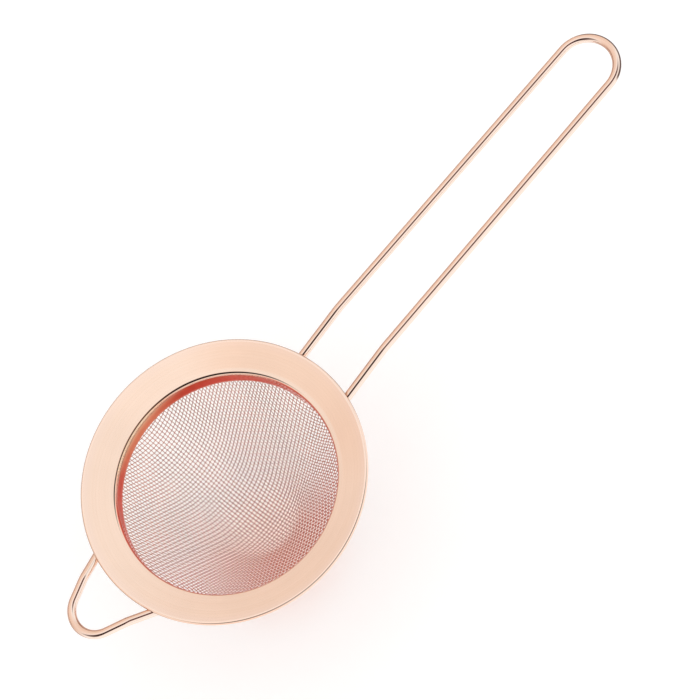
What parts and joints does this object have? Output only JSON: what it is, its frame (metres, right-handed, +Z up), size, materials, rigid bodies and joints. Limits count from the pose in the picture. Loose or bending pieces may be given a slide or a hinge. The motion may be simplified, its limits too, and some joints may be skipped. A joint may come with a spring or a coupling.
{
  "type": "fine mesh cocktail strainer",
  "caption": "Conical fine mesh strainer with a dished flange rim, a long looped wire handle and a short looped wire rest opposite.",
  "frame": {"origin": "centre of the rim, level with the highest line of its curled edge", "axes": "+Z up, out of the mouth; the mesh cone points down; the handle lies along +X and the rest along -X"},
  "size_m": [0.2254, 0.085, 0.0602],
  "materials": {
    "rim_copper": "polished copper plating on pressed stainless sheet",
    "band_copper": "polished copper plating on a plain steel band",
    "mesh_copper": "copper plating on fine woven stainless wire",
    "wire_copper": "polished copper plating on round steel wire",
    "weld_copper": "copper plating over small weld beads, slightly dull"
  },
  "bodies": {
    "root": {"rim_flange": "rim_copper", "mesh_basket": "mesh_copper", "mesh_band": "band_copper", "handle_loop": "wire_copper", "rest_loop": "wire_copper", "handle_welds": "weld_copper", "rest_welds": "weld_copper"}
  },
  "joints": []
}
